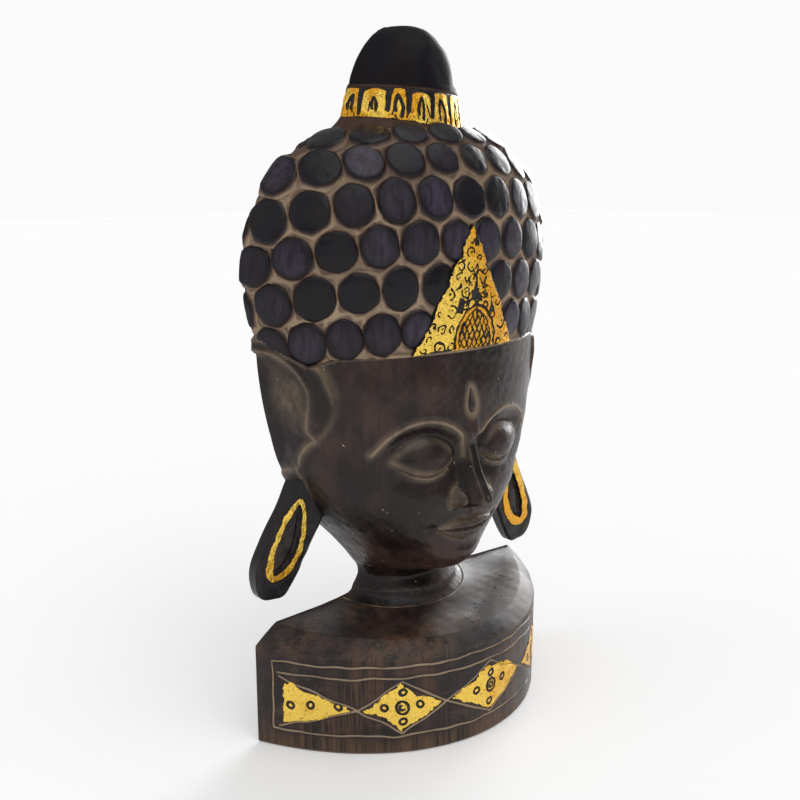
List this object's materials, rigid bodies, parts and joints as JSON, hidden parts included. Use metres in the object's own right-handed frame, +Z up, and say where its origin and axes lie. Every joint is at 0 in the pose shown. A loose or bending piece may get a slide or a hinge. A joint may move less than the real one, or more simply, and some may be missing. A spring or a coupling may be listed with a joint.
{
  "type": "wooden buddha mask",
  "caption": "Carved wooden head mask with rows of round curls, a gilded band and triangle, long free earlobes and a bow-fronted foot that it stands on.",
  "frame": {"origin": "on the surface it stands on, under the middle of the foot: halfway between the foot's side edges and halfway between the flat back and the foremost line of the foot wall", "axes": "+Z up along the head, the face looks along -Y, +Y out of the flat back, +X towards the head's own left ear"},
  "size_m": [0.2775, 0.097, 0.5],
  "materials": {
    "stained_wood": "dark stain, worn satin, gilded details"
  },
  "bodies": {
    "root": {"carved_mask": "stained_wood"}
  },
  "joints": []
}
